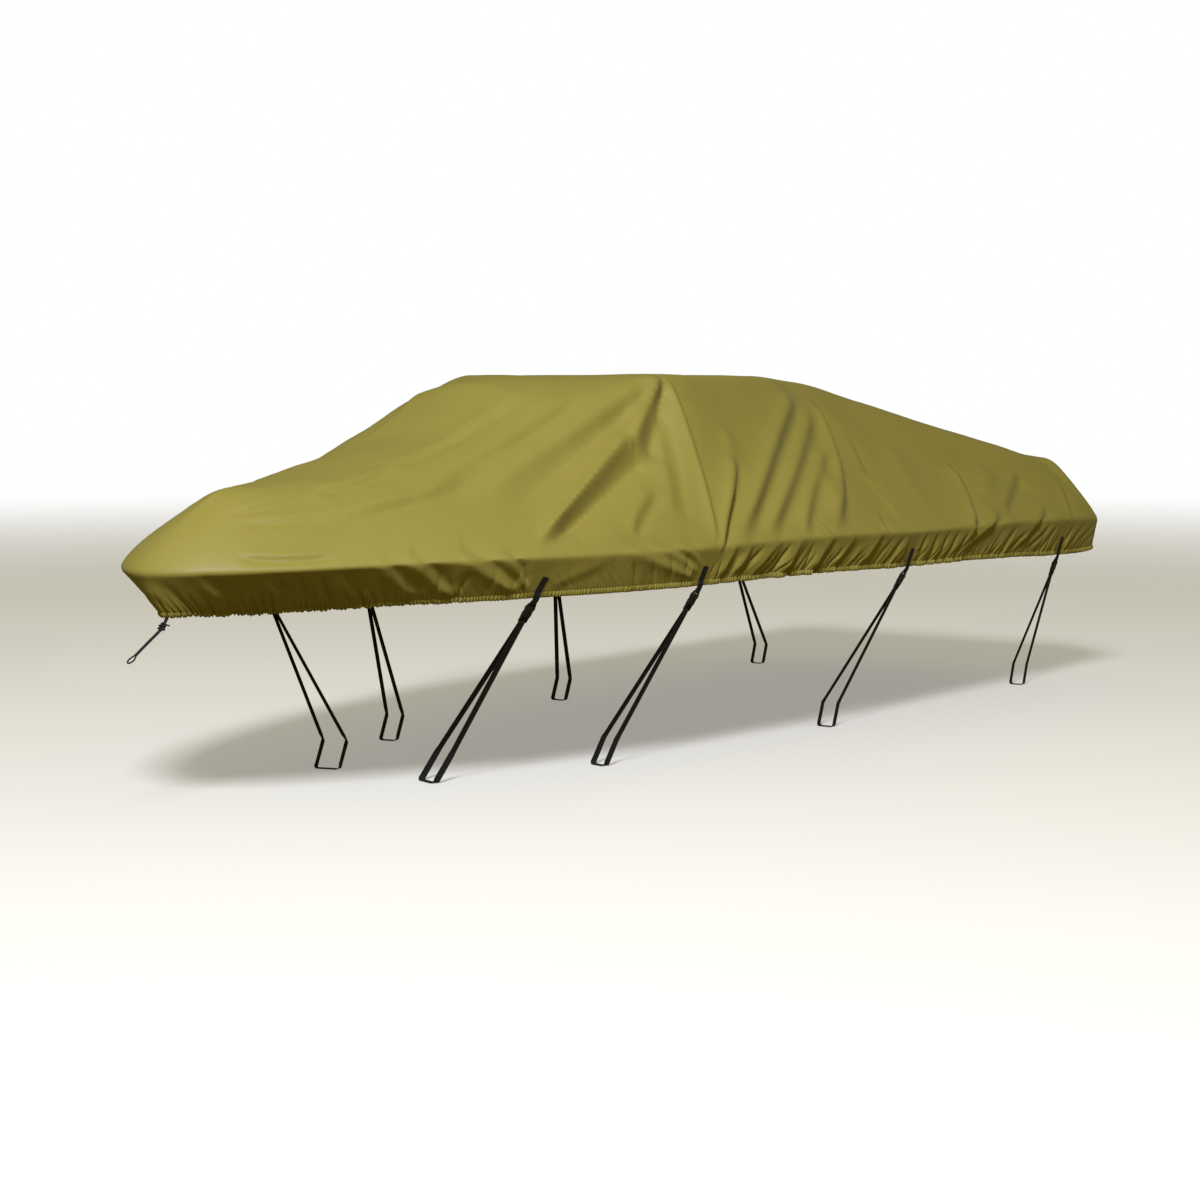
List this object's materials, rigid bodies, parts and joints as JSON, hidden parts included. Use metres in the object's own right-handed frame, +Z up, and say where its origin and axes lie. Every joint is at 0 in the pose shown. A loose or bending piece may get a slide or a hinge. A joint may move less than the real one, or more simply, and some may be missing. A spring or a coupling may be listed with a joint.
{
  "type": "boat cover",
  "caption": "Fitted cloth cover for a small motorboat, skirt gathered in under the edge by an elastic hem, with tie-down straps, release buckles and a nose cord.",
  "frame": {"origin": "on the inner face of the cloth, on the centreline under the level ridge, where the boat's top holds the cover up", "axes": "+X from the nose to the tail, -Y to port, +Z up"},
  "size_m": [5.9576, 2.1302, 1.5979],
  "materials": {
    "cloth": "matt coated polyester, olive",
    "webbing": "black woven webbing",
    "buckle": "black moulded plastic",
    "cord": "black braided cord"
  },
  "bodies": {
    "root": {"cover": "cloth", "tab_port_1": "webbing", "buckle_port_1": "buckle", "leg_port_1": "webbing", "tab_port_2": "webbing", "buckle_port_2": "buckle", "leg_port_2": "webbing", "tab_port_3": "webbing", "buckle_port_3": "buckle", "leg_port_3": "webbing", "tab_port_4": "webbing", "buckle_port_4": "buckle", "leg_port_4": "webbing", "tab_starboard_1": "webbing", "buckle_starboard_1": "buckle", "leg_starboard_1": "webbing", "tab_starboard_2": "webbing", "buckle_starboard_2": "buckle", "leg_starboard_2": "webbing", "tab_starboard_3": "webbing", "buckle_starboard_3": "buckle", "leg_starboard_3": "webbing", "tab_starboard_4": "webbing", "buckle_starboard_4": "buckle", "leg_starboard_4": "webbing", "nose_lead_port": "cord", "nose_lead_starboard": "cord", "nose_knot": "cord", "nose_loop": "cord"}
  },
  "joints": []
}
